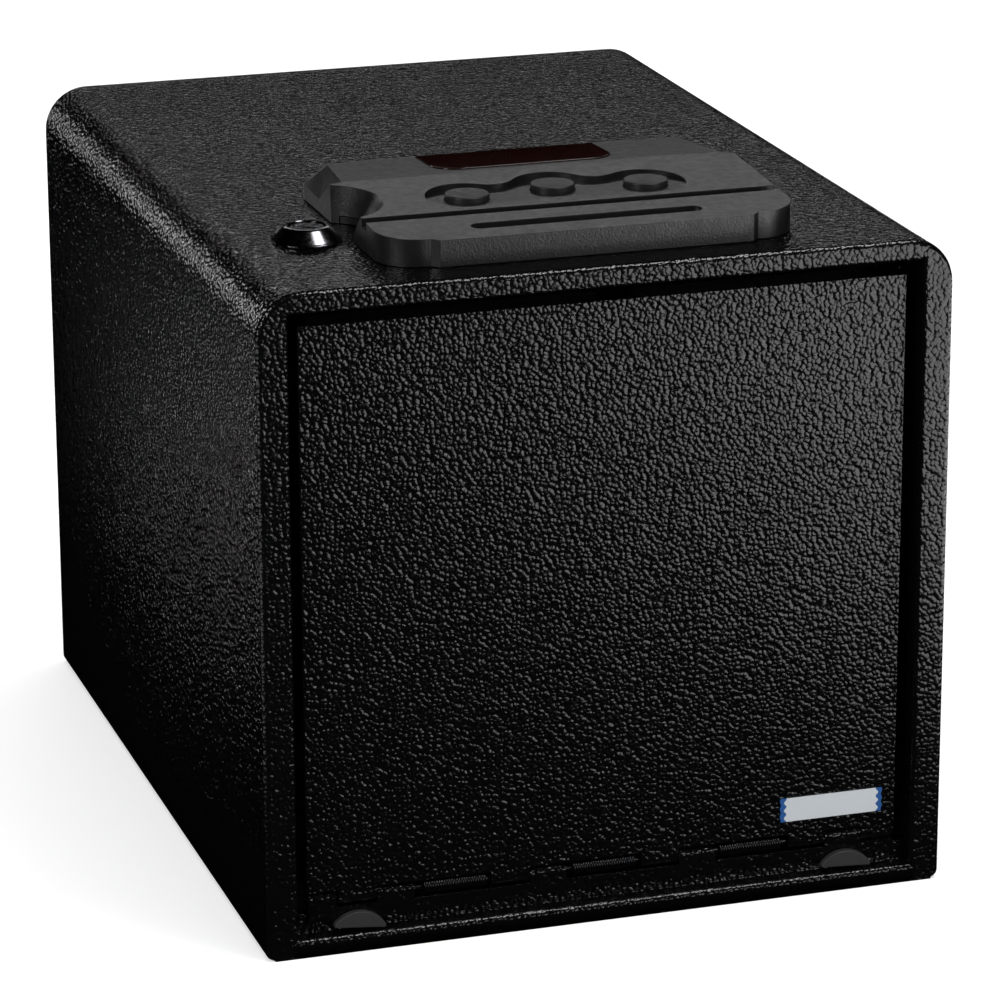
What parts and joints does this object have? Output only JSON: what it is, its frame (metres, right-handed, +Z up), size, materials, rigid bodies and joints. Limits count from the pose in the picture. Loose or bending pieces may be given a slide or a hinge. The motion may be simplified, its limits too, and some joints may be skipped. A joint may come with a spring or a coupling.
{
  "type": "gun safe",
  "caption": "Steel box safe with a drop-down front door on a sprung bottom hinge, a keypad console and a key lock on top, and a sliding latch bolt inside.",
  "frame": {"origin": "centre of the footprint, on the surface that the safe stands on", "axes": "+X to the right of the door seen from the front, +Y from the door to the back panel, +Z up"},
  "size_m": [0.24, 0.312, 0.2425],
  "materials": {
    "powder_coat": "glossy near-black textured powder coat",
    "inner_coat": "satin black",
    "console_plastic": "fine-grained charcoal",
    "button_plastic": "smooth charcoal",
    "lens_plastic": "dark red, clear gloss",
    "rubber": "mid grey, dull",
    "foam": "black foam, dull",
    "black_nickel": "dark bright plating",
    "zinc_plate": "zinc plated",
    "steel": "bright steel",
    "coil_winding": "lacquered copper under tape",
    "circuit_board": "green solder mask",
    "black_plastic": "plain black",
    "label": "pale grey film with blue ends",
    "cell_sleeve": "printed steel can, plain colour"
  },
  "bodies": {
    "safe": {"body_shell": "powder_coat", "base_tray": "powder_coat", "back_panel": "powder_coat", "hinge_strip": "powder_coat", "latch_housing": "inner_coat", "console_base": "console_plastic", "console_housing": "console_plastic", "display_lens": "lens_plastic", "door_pad_left": "rubber", "door_pad_right": "rubber", "hole_plug_1": "rubber", "hole_plug_2": "rubber", "hole_plug_3": "rubber", "hole_plug_4": "rubber", "floor_mat": "foam", "lock_bezel": "black_nickel", "bolt_guide": "zinc_plate", "solenoid_frame": "zinc_plate", "lock_body": "zinc_plate", "lock_nut": "zinc_plate", "housing_screw_1": "zinc_plate", "housing_screw_2": "zinc_plate", "housing_screw_3": "zinc_plate", "housing_screw_4": "zinc_plate", "console_screw_1": "zinc_plate", "console_screw_2": "zinc_plate", "console_screw_3": "zinc_plate", "console_screw_4": "zinc_plate", "hinge_pin": "steel", "hinge_spring_1": "steel", "hinge_spring_2": "steel", "hinge_spring_3": "steel", "bolt_spring": "steel", "solenoid_coil": "coil_winding", "control_board": "circuit_board", "display_module": "black_plastic", "battery_tray": "black_plastic", "solenoid_lead": "black_plastic", "cell_1": "cell_sleeve", "cell_2": "cell_sleeve", "cell_3": "cell_sleeve", "cell_4": "cell_sleeve"},
    "door": {"door_panel": "powder_coat", "door_liner": "inner_coat", "door_striker": "zinc_plate", "striker_screw_1": "zinc_plate", "striker_screw_2": "zinc_plate", "door_label": "label"},
    "bolt": {"bolt_slide": "zinc_plate", "solenoid_plunger": "steel"},
    "key_plug": {"lock_plug": "black_nickel", "lock_cam": "zinc_plate"},
    "button_1": {"button_1": "button_plastic"},
    "button_2": {"button_2": "button_plastic"},
    "button_3": {"button_3": "button_plastic"},
    "cover": {"battery_cover": "console_plastic"}
  },
  "joints": [
    {"name": "door_hinge", "type": "hinge", "parent": "safe", "child": "door", "pos_m": [0, -0.1487, 0.0178], "axis": [1, 0, 0], "range_deg": [0, 90]},
    {"name": "bolt_slide_out", "type": "slide", "parent": "safe", "child": "bolt", "axis": [1, 0, 0], "range_m": [0, 0.008]},
    {"name": "key_turn", "type": "hinge", "parent": "safe", "child": "key_plug", "pos_m": [-0.0858, -0.094, 0.2205], "axis": [0, 0, 1], "range_deg": [-90, 0]},
    {"name": "button_1_press", "type": "slide", "parent": "safe", "child": "button_1", "axis": [0, 0, -1], "range_m": [0, 0.0012], "stiffness_N_per_m": 400, "springref_m": -0.0005},
    {"name": "button_2_press", "type": "slide", "parent": "safe", "child": "button_2", "axis": [0, 0, -1], "range_m": [0, 0.0012], "stiffness_N_per_m": 400, "springref_m": -0.0005},
    {"name": "button_3_press", "type": "slide", "parent": "safe", "child": "button_3", "axis": [0, 0, -1], "range_m": [0, 0.0012], "stiffness_N_per_m": 400, "springref_m": -0.0005},
    {"name": "cover_slide", "type": "slide", "parent": "safe", "child": "cover", "axis": [0, -1, 0], "range_m": [0, 0.026]}
  ],
  "couplings": [
    {"joint": "key_turn", "follows": "bolt_slide_out", "rad_per_m": -196.35}
  ]
}
